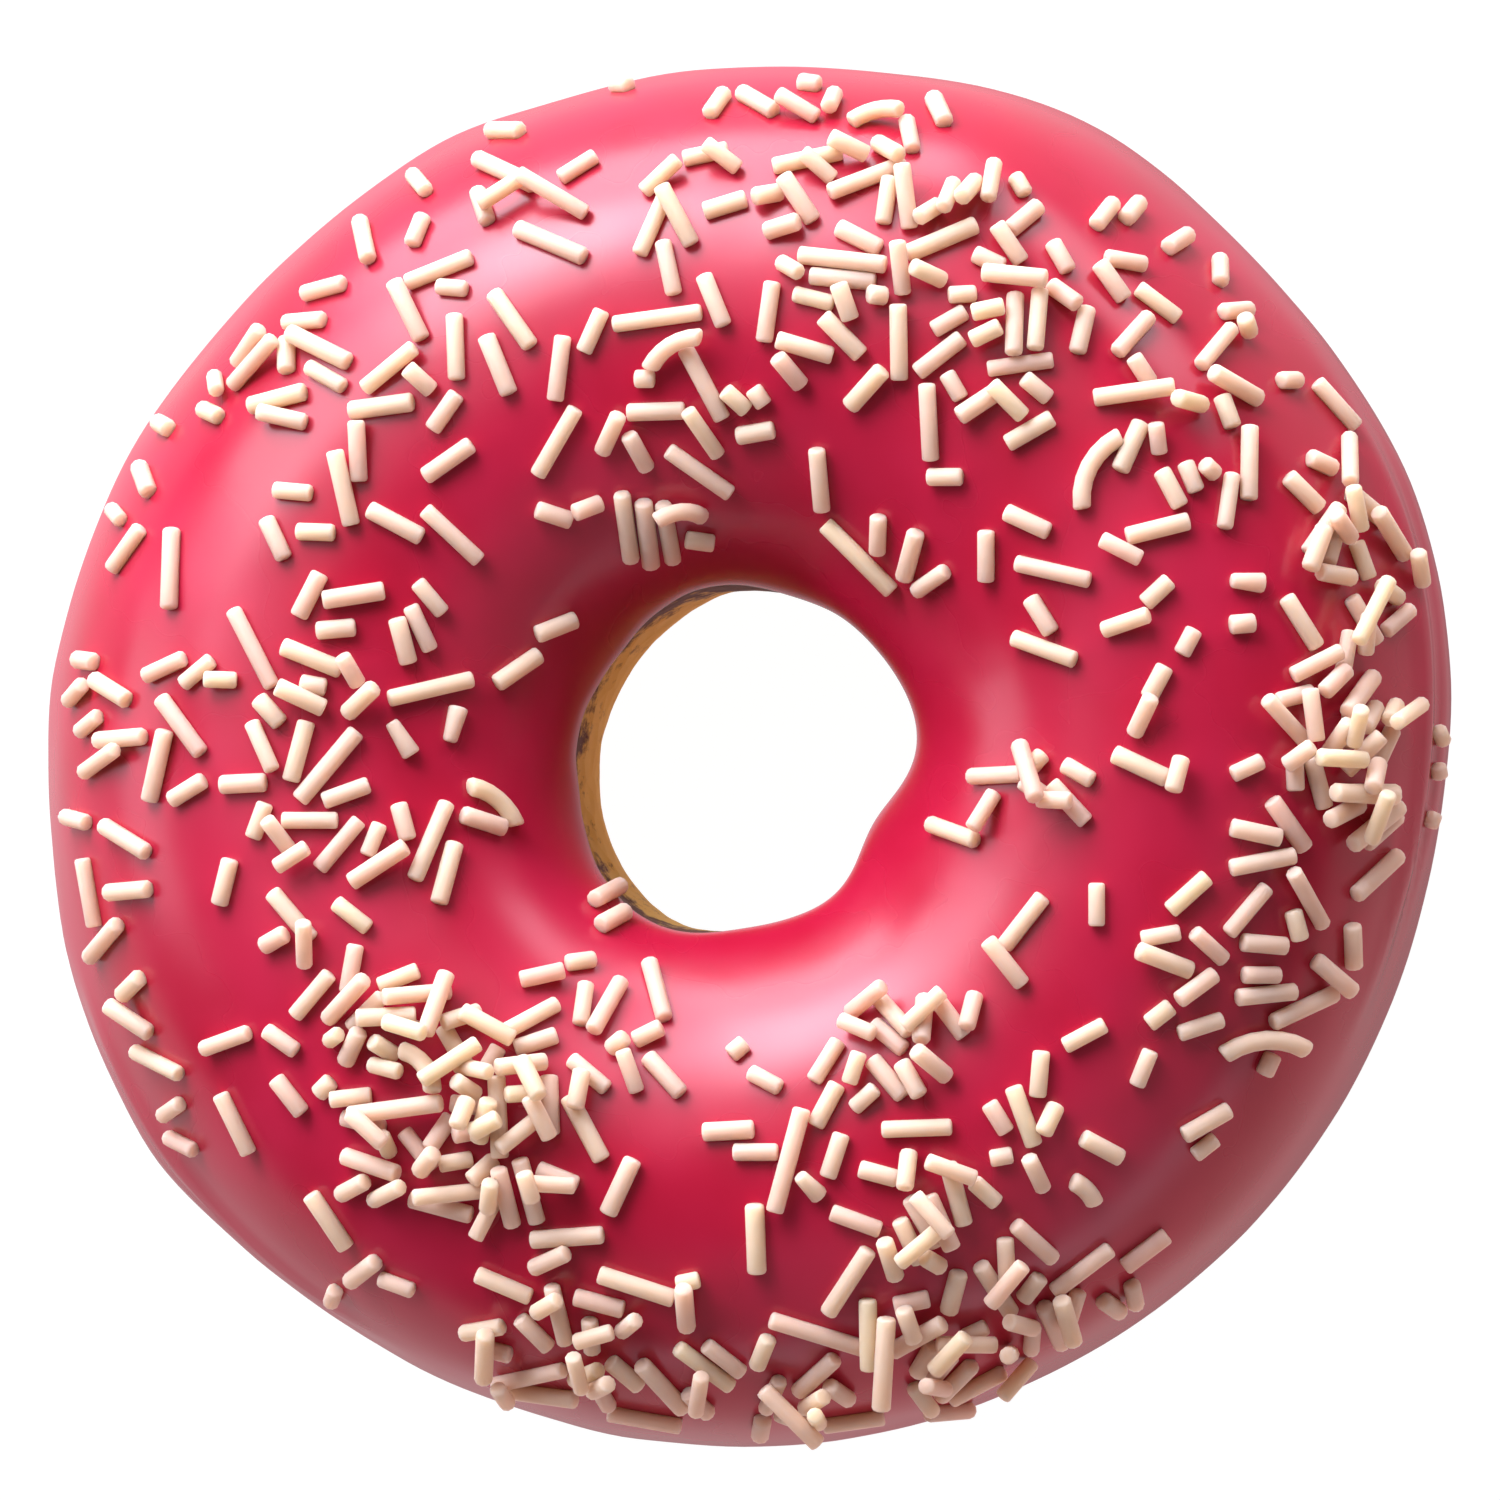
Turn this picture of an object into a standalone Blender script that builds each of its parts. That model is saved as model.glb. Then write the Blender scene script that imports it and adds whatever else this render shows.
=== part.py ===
# A frosted ring doughnut: the dough ring and the shell of set frosting over it.
# Metres, +Z up. The dough lies on its flat underside at z = 0, and the box round
# both pieces is centred on the origin in X and Y.

import math

import bpy

# ---- driving dimensions, in metres; directions in degrees, from +X towards +Y ----

RIM_RADIUS = 0.0414       # dough at its waist, outside
HOLE_RADIUS = 0.0102      # dough at its waist, in the hole
WAIST_HEIGHT = 0.0142     # level at which the ring is widest
CROWN = 0.0158            # waist to the top of the dough
BELLY = 0.0147            # waist to the bottom, before the underside is pressed flat
TOP_FULLNESS = 0.07       # how far the upper section stands out from an ellipse
BELLY_FULLNESS = 0.20     # the same below the waist

FROSTING_THICKNESS = 0.0013
EDGE_BEAD = 0.0003        # extra thickness where the frosting gathered at its edges
BEAD_PLACE = 0.0022       # from the edge to the middle of that bead
BEAD_SPREAD = 0.0018
NOSE_LENGTH = 0.0011      # the edge rounds off over this length
NOSE_SHARE = 0.45         # thickness left at the very edge
PIECE_GAP = 0.0003        # air between dough and frosting

RIM_EDGE = -13.0          # where the frosting ends outside, degrees above the waist
HOLE_EDGE = 154.0         # where it ends in the hole, over the top from outside

# A swell is (direction, spread, size): it fades to a third at its spread.
RIM_SWELLS = [(62, 15, 0.0015), (115, 40, -0.0012), (141, 12, -0.0004), (175, 14, 0.0004)]
HOLE_SWELLS = [(352, 60, 0.0028), (145, 60, -0.0014), (250, 36, 0.0010), (333, 18, -0.0011)]
TOP_SWELLS = [(70, 35, 0.0005), (150, 28, -0.0004), (225, 40, 0.0004), (318, 30, -0.0004)]

# The waist bulges out under the frosting on two sides, as a lip a little above it.
LIP_SWELLS = [(19, 23, 0.0018), (208, 22, 0.0016)]
LIP_ROLL = 5.0
LIP_SPREAD = 19.0

# Edge waves are (how many round the ring, degrees up and down, start).
RIM_EDGE_WAVES = [(3, 3.0, 0.6), (7, 2.2, 2.0), (11, 1.2, 4.1)]
HOLE_EDGE_WAVES = [(2, 1.6, 0.4), (5, 1.5, 1.9)]
RIM_DRIPS = [(98, 9, -9.0), (187, 8, -7.0), (262, 11, -11.0), (342, 9, -8.0)]
HOLE_DRIPS = [(333, 18, 9.0), (62, 14, 3.0)]

# ---- how finely the two rings are divided ----

TURN_STEPS = 72           # round the ring, the same for both pieces
DOUGH_STEPS = 30          # round the dough's section
FROSTING_STEPS = 34       # round the frosting's thin section
OUTER_FACE_SHARE = 0.58   # share of those steps that the outer face takes
EDGE_CROWDING = 0.55      # how much closer the steps lie near the edges
SLOPE_STEP = math.radians(1.0)

DOUGH_COLOUR = (0.45, 0.205, 0.062, 1.0)
FROSTING_COLOUR = (0.60, 0.022, 0.075, 1.0)


def clear_scene():
    for item in list(bpy.data.objects):
        bpy.data.objects.remove(item, do_unlink=True)


def make_material(name, colour, roughness):
    material = bpy.data.materials.new(name)
    material.use_nodes = True
    shader = material.node_tree.nodes["Principled BSDF"]
    shader.inputs["Base Color"].default_value = colour
    shader.inputs["Roughness"].default_value = roughness
    shader.inputs["Metallic"].default_value = 0.0
    return material


def bump(away, spread):
    return math.exp(-(away / spread) ** 2)


def swell(turn, swells):
    total = 0.0
    for direction, spread, size in swells:
        away = (math.degrees(turn) - direction + 180.0) % 360.0 - 180.0
        total += size * bump(away, spread)
    return total


def waves(turn, wave_list):
    return sum(size * math.sin(count * turn + start) for count, size, start in wave_list)


def dough_point(turn, roll):
    """Distance from the axis and height of the dough, roll 0 outside and 90 degrees on top."""
    outer = RIM_RADIUS + swell(turn, RIM_SWELLS)
    inner = HOLE_RADIUS + swell(turn, HOLE_SWELLS)
    middle = (outer + inner) / 2
    half_width = (outer - inner) / 2
    across, up = math.cos(roll), math.sin(roll)
    if up > 0:
        fullness = TOP_FULLNESS
        reach = CROWN + swell(turn, TOP_SWELLS)
    else:
        fullness = BELLY_FULLNESS
        reach = BELLY
    radius = middle + half_width * across * (1 + fullness * up * up)
    height = WAIST_HEIGHT + reach * up * (1 + fullness * across * across)
    above_lip = (math.degrees(roll) - LIP_ROLL + 180.0) % 360.0 - 180.0
    radius += swell(turn, LIP_SWELLS) * bump(above_lip, LIP_SPREAD)
    return radius, max(height, 0.0)


def raised_point(turn, roll, lift):
    """A point that stands off the dough's face by lift."""
    radius, height = dough_point(turn, roll)
    radius_before, height_before = dough_point(turn, roll - SLOPE_STEP)
    radius_after, height_after = dough_point(turn, roll + SLOPE_STEP)
    run = radius_after - radius_before
    rise = height_after - height_before
    slope_length = math.hypot(run, rise)
    return radius + lift * rise / slope_length, height - lift * run / slope_length


def frosting_thickness(from_edge):
    rounding = 1.0 - min(from_edge / NOSE_LENGTH, 1.0)
    nose = NOSE_SHARE + (1.0 - NOSE_SHARE) * math.sqrt(1.0 - rounding * rounding)
    bead = EDGE_BEAD * bump(from_edge - BEAD_PLACE, BEAD_SPREAD)
    return FROSTING_THICKNESS * nose + bead


def frosting_point(turn, roll):
    """The roll runs once round the thin section: over the outer face, then back inside."""
    share = (roll / (2 * math.pi)) % 1.0
    outer_face = share < OUTER_FACE_SHARE
    if outer_face:
        along = share / OUTER_FACE_SHARE
    else:
        along = (1.0 - share) / (1.0 - OUTER_FACE_SHARE)
    along -= EDGE_CROWDING * math.sin(2 * math.pi * along) / (2 * math.pi)
    rim_edge = math.radians(RIM_EDGE + waves(turn, RIM_EDGE_WAVES) + swell(turn, RIM_DRIPS))
    hole_edge = math.radians(HOLE_EDGE + waves(turn, HOLE_EDGE_WAVES) + swell(turn, HOLE_DRIPS))
    dough_roll = rim_edge + (hole_edge - rim_edge) * along
    lift = PIECE_GAP
    if outer_face:
        to_edge = min(along, 1.0 - along) * (hole_edge - rim_edge) * CROWN
        lift += frosting_thickness(to_edge)
    return raised_point(turn, dough_roll, lift)


def make_ring(name, steps, section_point, material, collection):
    """A torus whose every point is moved to where section_point puts it."""
    bpy.ops.mesh.primitive_torus_add(
        major_radius=1.0, minor_radius=0.5, major_segments=TURN_STEPS, minor_segments=steps)
    ring = bpy.context.object
    ring.name = name
    ring.data.name = name
    for vertex in ring.data.vertices:
        x, y, z = vertex.co
        turn = math.atan2(y, x)
        roll = math.atan2(z, math.hypot(x, y) - 1.0)
        roll = round(roll / (2 * math.pi) * steps) * 2 * math.pi / steps
        radius, height = section_point(turn, roll)
        vertex.co = (radius * math.cos(turn), radius * math.sin(turn), height)
    ring.data.materials.clear()
    ring.data.materials.append(material)
    ring.data.shade_smooth()
    for home in list(ring.users_collection):
        home.objects.unlink(ring)
    collection.objects.link(ring)
    return ring


def centre_on_axis(rings):
    """Shifts all the rings together, so that their common box is centred on the origin."""
    corners = [vertex.co for ring in rings for vertex in ring.data.vertices]
    shift_x = -(min(co.x for co in corners) + max(co.x for co in corners)) / 2
    shift_y = -(min(co.y for co in corners) + max(co.y for co in corners)) / 2
    for ring in rings:
        for vertex in ring.data.vertices:
            vertex.co.x += shift_x
            vertex.co.y += shift_y


def main():
    clear_scene()
    doughnut = bpy.data.collections.new("frosted_doughnut")
    bpy.context.scene.collection.children.link(doughnut)
    dough_material = make_material("dough", DOUGH_COLOUR, 0.62)
    frosting_material = make_material("frosting", FROSTING_COLOUR, 0.22)
    dough = make_ring("dough_ring", DOUGH_STEPS, dough_point, dough_material, doughnut)
    frosting = make_ring("frosting", FROSTING_STEPS, frosting_point, frosting_material, doughnut)
    centre_on_axis([dough, frosting])


main()
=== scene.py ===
import math
import random

import bmesh
import bpy
from mathutils import Matrix, Vector
from mathutils.bvhtree import BVHTree


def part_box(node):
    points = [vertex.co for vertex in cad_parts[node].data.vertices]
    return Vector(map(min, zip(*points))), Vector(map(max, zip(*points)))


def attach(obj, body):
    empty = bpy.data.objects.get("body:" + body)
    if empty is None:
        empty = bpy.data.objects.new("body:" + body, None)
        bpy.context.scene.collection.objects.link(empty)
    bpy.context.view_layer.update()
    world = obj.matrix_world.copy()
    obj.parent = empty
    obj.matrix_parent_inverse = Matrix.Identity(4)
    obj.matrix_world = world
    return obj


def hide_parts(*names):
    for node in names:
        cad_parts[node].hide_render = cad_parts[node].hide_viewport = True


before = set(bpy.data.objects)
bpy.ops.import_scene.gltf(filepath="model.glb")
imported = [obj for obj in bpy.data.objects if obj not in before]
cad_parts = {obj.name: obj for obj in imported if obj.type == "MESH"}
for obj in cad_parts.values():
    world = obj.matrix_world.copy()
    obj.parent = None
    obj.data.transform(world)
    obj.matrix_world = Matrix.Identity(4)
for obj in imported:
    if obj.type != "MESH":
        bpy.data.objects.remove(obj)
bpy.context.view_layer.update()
waistShare = 0.443                        # of the ring's height, where it is widest
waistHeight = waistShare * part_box("frosting")[1][2]
ringMiddle = Vector((0.0, 0.0, waistHeight))
millimetre = 0.001
sameSpot = 0.000001                       # vertices closer than this are one
print("frame loaded")


def deselectAll():
    if bpy.context.object and bpy.context.object.mode != "OBJECT":
        bpy.ops.object.mode_set(mode="OBJECT")
    bpy.ops.object.select_all(action="DESELECT")


def makeActive(piece):
    deselectAll()
    piece.select_set(True)
    bpy.context.view_layer.objects.active = piece


def addModifier(piece, kind, **settings):
    modifier = piece.modifiers.new(kind.lower(), kind)
    for name, value in settings.items():
        setattr(modifier, name, value)
    makeActive(piece)
    bpy.ops.object.modifier_apply(modifier=modifier.name)


def selectEdges(piece, wanted):
    bpy.ops.mesh.select_mode(type="EDGE")
    bpy.ops.mesh.select_all(action="DESELECT")
    cage = bmesh.from_edit_mesh(piece.data)
    for edge in cage.edges:
        edge.select_set(wanted(edge))
    bmesh.update_edit_mesh(piece.data)


def copyOfNode(nodeName, pieceName):
    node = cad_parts[nodeName]
    piece = node.copy()
    piece.data = node.data.copy()
    piece.name = pieceName
    piece.data.name = pieceName
    piece.parent = None
    piece.matrix_world = Matrix.Identity(4)
    bpy.context.collection.objects.link(piece)
    makeActive(piece)
    bpy.ops.object.mode_set(mode="EDIT")
    bpy.ops.mesh.select_all(action="SELECT")
    bpy.ops.mesh.remove_doubles(threshold=sameSpot)
    bpy.ops.mesh.tris_convert_to_quads(face_threshold=math.pi, shape_threshold=math.pi)
    bpy.ops.object.mode_set(mode="OBJECT")
    return piece


def dragAt(piece, grip, move, reach):
    # takes the vertex nearest to a place and drags it, with its neighbours following softly
    makeActive(piece)
    bpy.ops.object.mode_set(mode="EDIT")
    bpy.ops.mesh.select_mode(type="VERT")
    bpy.ops.mesh.select_all(action="DESELECT")
    cage = bmesh.from_edit_mesh(piece.data)
    nearest = min(cage.verts, key=lambda vertex: (vertex.co - grip).length)
    nearest.select_set(True)
    bmesh.update_edit_mesh(piece.data)
    bpy.ops.transform.translate(value=move, use_proportional_edit=True,
                                proportional_edit_falloff="SMOOTH", proportional_size=reach)
    bpy.ops.object.mode_set(mode="OBJECT")


def dragAround(piece, pulls, hold):
    # each pull is a direction in degrees, then outward and upward in metres
    for direction, outward, upward in pulls:
        turn = math.radians(direction)
        out = Vector((math.cos(turn), math.sin(turn), 0.0))
        grip = out * hold["radius"] + Vector((0.0, 0.0, waistHeight + hold["aboveWaist"]))
        dragAt(piece, grip, out * outward + Vector((0.0, 0.0, upward)), hold["reach"])


def cloudTexture(name, size, depth=1):
    texture = bpy.data.textures.new(name, "CLOUDS")
    texture.noise_scale = size
    texture.noise_depth = depth
    texture.noise_basis = "IMPROVED_PERLIN"
    return texture


def giveMaterial(piece, material):
    piece.data.materials.clear()
    piece.data.materials.append(material)


def newMaterial(name):
    material = bpy.data.materials.new(name)
    material.use_nodes = True
    nodes = material.node_tree.nodes
    shader = nodes["Principled BSDF"]
    return material, nodes, material.node_tree.links, shader


def addNode(nodes, kind, **settings):
    node = nodes.new(kind)
    for name, value in settings.items():
        if name in node.inputs:
            node.inputs[name].default_value = value
        else:
            setattr(node, name, value)
    return node


def addRange(nodes, fromMin, fromMax, toMin, toMax, **settings):
    spread = addNode(nodes, "ShaderNodeMapRange", **settings)
    spread.inputs["From Min"].default_value = fromMin
    spread.inputs["From Max"].default_value = fromMax
    spread.inputs["To Min"].default_value = toMin
    spread.inputs["To Max"].default_value = toMax
    return spread


def addRamp(nodes, stops):
    ramp = nodes.new("ShaderNodeValToRGB")
    elements = ramp.color_ramp.elements
    while len(elements) < len(stops):
        elements.new(0.5)
    for element, (place, colour) in zip(elements, stops):
        element.position = place
        element.color = (*colour, 1.0)
    return ramp


camera = {
    "distance": 0.60,
    "lean": math.radians(10.0),           # away from straight above
    "leanTowards": math.radians(347.0),   # the side it leans to, from +X towards +Y
    "aim": Vector((0.0002, 0.0003, waistHeight)),
    "frameWidth": 0.0932,                 # what the picture spans at the ring
    "sensorWidth": 36.0,                  # millimetres
    "nearest": 0.01,
    "farthest": 20.0,
}

outOfAxis = math.sin(camera["lean"]) * camera["distance"]
cameraPlace = camera["aim"] + Vector((outOfAxis * math.cos(camera["leanTowards"]),
                                      outOfAxis * math.sin(camera["leanTowards"]),
                                      math.cos(camera["lean"]) * camera["distance"]))
viewAhead = (camera["aim"] - cameraPlace).normalized()
viewRight = viewAhead.cross(Vector((0.0, 1.0, 0.0))).normalized()
viewUp = viewRight.cross(viewAhead)


def makeCamera():
    data = bpy.data.cameras.new("camera")
    data.sensor_width = camera["sensorWidth"]
    data.lens = camera["sensorWidth"] * camera["distance"] / camera["frameWidth"]
    data.clip_start = camera["nearest"]
    data.clip_end = camera["farthest"]
    item = bpy.data.objects.new("camera", data)
    bpy.context.collection.objects.link(item)
    item.location = cameraPlace
    item.rotation_euler = Matrix((viewRight, viewUp, -viewAhead)).transposed().to_euler()
    bpy.context.scene.camera = item


makeCamera()


frosting = {
    "subdivisions": 2,
    "broadSwell": 0.00032,                # height of the broad undulations
    "broadSize": 0.013,
    "fineSwell": 0.00006,
    "fineSize": 0.0045,
    "colour": (0.45, 0.0085, 0.046),
    "deepColour": (0.395, 0.0055, 0.031),
    "driftScale": 70.0,                   # of the slow change in tone and gloss
    "roughness": 0.28,
    "roughnessSpread": 0.05,
    "specular": 0.56,
}

# The frosting ran further down the far wall of the hole than elsewhere.
edgeHold = {"radius": 0.0112, "aboveWaist": 0.0070, "reach": 0.0065}
edgePulls = [
    (60, 0.0003, 0.0), (78, 0.0002, -0.0004), (96, -0.0003, -0.0010), (115, -0.0007, -0.0013),
    (135, -0.0008, -0.0014), (155, -0.0009, -0.0014), (175, -0.0010, -0.0014),
    (195, -0.0010, -0.0014), (215, -0.0009, -0.0013), (235, -0.0006, -0.0010),
]

# The hole sits a little off the middle. Both pieces are pulled alike, so that they keep their gap.
holeHold = {"radius": 0.0103, "aboveWaist": 0.0030, "reach": 0.0080}
holePulls = [
    (5, -0.0003, 0.0), (30, -0.0009, 0.0), (55, -0.0004, 0.0), (80, -0.0003, 0.0),
    (100, -0.0001, 0.0), (125, 0.0003, 0.0), (150, 0.0006, 0.0), (178, 0.0003, 0.0),
    (205, 0.0012, 0.0), (230, 0.0006, 0.0), (280, -0.0002, 0.0), (305, -0.0004, 0.0),
    (330, -0.0001, 0.0), (352, -0.0002, 0.0),
]

# The frosting's rim stands out into an uneven lip.
rimHold = {"radius": 0.0445, "aboveWaist": 0.0010, "reach": 0.0070}
rimPulls = [
    (84, 0.0002, 0.0), (94, 0.0006, 0.0), (104, 0.0004, 0.0), (114, 0.0009, 0.0),
    (124, 0.0005, 0.0), (134, 0.0006, 0.0), (144, 0.0005, 0.0), (154, 0.0006, 0.0),
    (164, 0.0004, 0.0), (174, 0.0007, 0.0), (184, 0.0005, 0.0), (194, 0.0006, 0.0),
    (204, 0.0003, 0.0), (214, 0.0008, 0.0), (224, 0.0004, 0.0), (234, 0.0002, 0.0),
    (244, 0.0003, 0.0), (262, 0.0004, 0.0), (272, 0.0003, 0.0),
]

# On two sides the rim ends in a fold: direction and spread to either side in degrees, then metres
# above the waist and how far it stands out. A groove runs below each.
rimFolds = [(4, 23, 0.0050, 0.00040), (219, 17, 0.0060, 0.00040)]
foldHalfWidth = 0.0009
foldToGroove = 0.0024
grooveShare = 0.8                         # of how far the fold stands out
foldsBeyond = 0.030                       # from the axis: the hole's side stays as it is


def frostingMaterial():
    material, nodes, links, shader = newMaterial("pinkFrosting")
    place = addNode(nodes, "ShaderNodeTexCoord")
    drift = addNode(nodes, "ShaderNodeTexNoise", Scale=frosting["driftScale"], Detail=3.0, Roughness=0.55)
    links.new(place.outputs["Object"], drift.inputs["Vector"])
    tone = addRamp(nodes, [(0.35, frosting["deepColour"]), (0.65, frosting["colour"])])
    links.new(drift.outputs["Fac"], tone.inputs["Fac"])
    links.new(tone.outputs["Color"], shader.inputs["Base Color"])
    gloss = addRange(nodes, 0.3, 0.7, frosting["roughness"] - frosting["roughnessSpread"],
                     frosting["roughness"] + frosting["roughnessSpread"])
    links.new(drift.outputs["Fac"], gloss.inputs["Value"])
    links.new(gloss.outputs["Result"], shader.inputs["Roughness"])
    shader.inputs["Specular IOR Level"].default_value = frosting["specular"]
    return material


def raiseFolds(piece):
    for vertex in piece.data.vertices:
        x, y, z = vertex.co
        reach = math.hypot(x, y)
        if reach < foldsBeyond:
            continue
        for direction, spread, crest, rise in rimFolds:
            away = (math.degrees(math.atan2(y, x)) - direction + 180.0) % 360.0 - 180.0
            fromCrest = z - waistHeight - crest
            fold = math.exp(-(fromCrest / foldHalfWidth) ** 2)
            groove = math.exp(-((fromCrest + foldToGroove) / foldHalfWidth) ** 2)
            push = rise * math.exp(-(away / spread) ** 4) * (fold - grooveShare * groove)
            vertex.co.x += push * x / reach
            vertex.co.y += push * y / reach


def makeFrosting():
    piece = copyOfNode("frosting", "frostingShell")
    dragAround(piece, holePulls, holeHold)
    dragAround(piece, edgePulls, edgeHold)
    dragAround(piece, rimPulls, rimHold)
    addModifier(piece, "SUBSURF", levels=frosting["subdivisions"],
                render_levels=frosting["subdivisions"])
    raiseFolds(piece)
    addModifier(piece, "DISPLACE", texture=cloudTexture("broad", frosting["broadSize"]),
                texture_coords="LOCAL", mid_level=0.5, strength=frosting["broadSwell"])
    addModifier(piece, "DISPLACE", texture=cloudTexture("fine", frosting["fineSize"]),
                texture_coords="LOCAL", mid_level=0.5, strength=frosting["fineSwell"])
    piece.data.shade_smooth()
    giveMaterial(piece, frostingMaterial())
    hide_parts("frosting")
    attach(piece, "root")
    return piece


frostingPiece = makeFrosting()
print("frosting made")


dough = {
    "subdivisions": 2,
    "lumpHeight": 0.0005,
    "lumpSize": 0.008,
    "wrinkleHeight": 0.00018,
    "wrinkleSize": 0.0018,
    "brown": (0.50, 0.22, 0.055),
    "darkBrown": (0.25, 0.085, 0.02),
    "blotchScale": 160.0,
    "paleBand": (0.80, 0.50, 0.20),
    "bandBelowWaist": 0.004,
    "bandHalfHeight": 0.0028,
    "bandStrength": 0.85,
    "bandWander": 0.002,                  # up and down on its way round
    "wanderScale": 90.0,
    "holeGold": (0.80, 0.52, 0.10),       # golden, on the wall of the hole
    "holeReach": 0.0150,                  # from the axis
    "holeFade": 0.003,
    # dark pitting, and painted shade under the frosting's edge
    "pitAndShadeBrown": (0.11, 0.032, 0.010),
    "pitScale": 640.0,
    "pitShadeFrom": -0.0024,                  # above the waist, where pitting and painted shade start to gather
    "pitShadeTo": 0.0018,                     # above the waist, where pitting and painted shade are densest
    "pitShadeGain": -0.36,                     # on the noise, where pitting and painted shade are densest
    "poreScale": 700.0,
    "poreDepth": 0.0003,
    "roughness": 0.62,
    "specular": 0.25,
}

# The wall of the hole stands back under the frosting's edge.
doughHold = {"radius": 0.0095, "aboveWaist": 0.0, "reach": 0.0060}
doughPulls = [
    (112, 0.0005, 0.0), (138, 0.0008, 0.0), (165, 0.0005, 0.0), (188, 0.0004, 0.0),
    (210, 0.0007, 0.0), (234, 0.0006, 0.0),
]


def doughMaterial():
    material, nodes, links, shader = newMaterial("friedDough")
    place = addNode(nodes, "ShaderNodeTexCoord")
    blotches = addNode(nodes, "ShaderNodeTexNoise", Scale=dough["blotchScale"], Detail=5.0,
                       Roughness=0.6)
    links.new(place.outputs["Object"], blotches.inputs["Vector"])
    crust = addRamp(nodes, [(0.32, dough["darkBrown"]), (0.6, dough["brown"])])
    links.new(blotches.outputs["Fac"], crust.inputs["Fac"])

    # a pale band runs round the waist, where the ring floated in the oil
    parts = addNode(nodes, "ShaderNodeSeparateXYZ")
    links.new(place.outputs["Object"], parts.inputs["Vector"])
    wobble = addNode(nodes, "ShaderNodeTexNoise", Scale=dough["wanderScale"], Detail=3.0)
    links.new(place.outputs["Object"], wobble.inputs["Vector"])
    shift = addRange(nodes, 0.0, 1.0, -dough["bandWander"] - waistHeight + dough["bandBelowWaist"],
                     dough["bandWander"] - waistHeight + dough["bandBelowWaist"])
    links.new(wobble.outputs["Fac"], shift.inputs["Value"])
    level = addNode(nodes, "ShaderNodeMath", operation="ADD")
    links.new(parts.outputs["Z"], level.inputs[0])
    links.new(shift.outputs["Result"], level.inputs[1])
    distance = addNode(nodes, "ShaderNodeMath", operation="ABSOLUTE")
    links.new(level.outputs["Value"], distance.inputs[0])
    band = addRange(nodes, 0.0, dough["bandHalfHeight"], dough["bandStrength"], 0.0,
                    interpolation_type="SMOOTHSTEP")
    links.new(distance.outputs["Value"], band.inputs["Value"])
    blend = addNode(nodes, "ShaderNodeMix", data_type="RGBA")
    links.new(band.outputs["Result"], blend.inputs["Factor"])
    links.new(crust.outputs["Color"], blend.inputs["A"])
    blend.inputs["B"].default_value = (*dough["paleBand"], 1.0)

    # in the hole the wall is golden; dark pitting gathers towards the frosting's edge, with painted shade
    # under its lip
    flat = addNode(nodes, "ShaderNodeCombineXYZ")
    links.new(parts.outputs["X"], flat.inputs["X"])
    links.new(parts.outputs["Y"], flat.inputs["Y"])
    fromAxis = addNode(nodes, "ShaderNodeVectorMath", operation="LENGTH")
    links.new(flat.outputs["Vector"], fromAxis.inputs[0])
    inHole = addRange(nodes, dough["holeReach"] - dough["holeFade"], dough["holeReach"], 1.0, 0.0)
    links.new(fromAxis.outputs["Value"], inHole.inputs["Value"])
    ragged = addNode(nodes, "ShaderNodeTexNoise", Scale=dough["pitScale"], Detail=4.0, Roughness=0.7)
    links.new(place.outputs["Object"], ragged.inputs["Vector"])
    # painted shade: the dark pitting grows towards the frosting's edge, under its lip
    shadeUnderEdge = addRange(nodes, waistHeight + dough["pitShadeFrom"], waistHeight + dough["pitShadeTo"],
                         0.0, dough["pitShadeGain"])
    links.new(parts.outputs["Z"], shadeUnderEdge.inputs["Value"])
    depth = addNode(nodes, "ShaderNodeMath", operation="ADD")
    links.new(ragged.outputs["Fac"], depth.inputs[0])
    links.new(shadeUnderEdge.outputs["Result"], depth.inputs[1])
    pitsAndShade = addRamp(nodes, [(0.25, dough["pitAndShadeBrown"]), (0.42, dough["holeGold"])])
    links.new(depth.outputs["Value"], pitsAndShade.inputs["Fac"])
    whole = addNode(nodes, "ShaderNodeMix", data_type="RGBA")
    links.new(inHole.outputs["Result"], whole.inputs["Factor"])
    links.new(blend.outputs["Result"], whole.inputs["A"])
    links.new(pitsAndShade.outputs["Color"], whole.inputs["B"])
    links.new(whole.outputs["Result"], shader.inputs["Base Color"])

    pores = addNode(nodes, "ShaderNodeTexVoronoi", Scale=dough["poreScale"])
    links.new(place.outputs["Object"], pores.inputs["Vector"])
    relief = addNode(nodes, "ShaderNodeBump", Strength=0.5, Distance=dough["poreDepth"])
    links.new(pores.outputs["Distance"], relief.inputs["Height"])
    links.new(relief.outputs["Normal"], shader.inputs["Normal"])
    shader.inputs["Roughness"].default_value = dough["roughness"]
    shader.inputs["Specular IOR Level"].default_value = dough["specular"]
    return material


def makeDough():
    piece = copyOfNode("dough_ring", "doughCrust")
    dragAround(piece, holePulls, holeHold)
    dragAround(piece, doughPulls, doughHold)
    addModifier(piece, "SUBSURF", levels=dough["subdivisions"], render_levels=dough["subdivisions"])
    addModifier(piece, "DISPLACE", texture=cloudTexture("lumps", dough["lumpSize"]),
                texture_coords="LOCAL", mid_level=0.5, strength=dough["lumpHeight"])
    addModifier(piece, "DISPLACE", texture=cloudTexture("wrinkles", dough["wrinkleSize"], 3),
                texture_coords="LOCAL", mid_level=0.5, strength=dough["wrinkleHeight"])
    for vertex in piece.data.vertices:    # the underside lies flat
        vertex.co.z = max(vertex.co.z, 0.0)
    piece.data.shade_smooth()
    giveMaterial(piece, doughMaterial())
    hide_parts("dough_ring")
    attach(piece, "root")


makeDough()
print("dough made")


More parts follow.
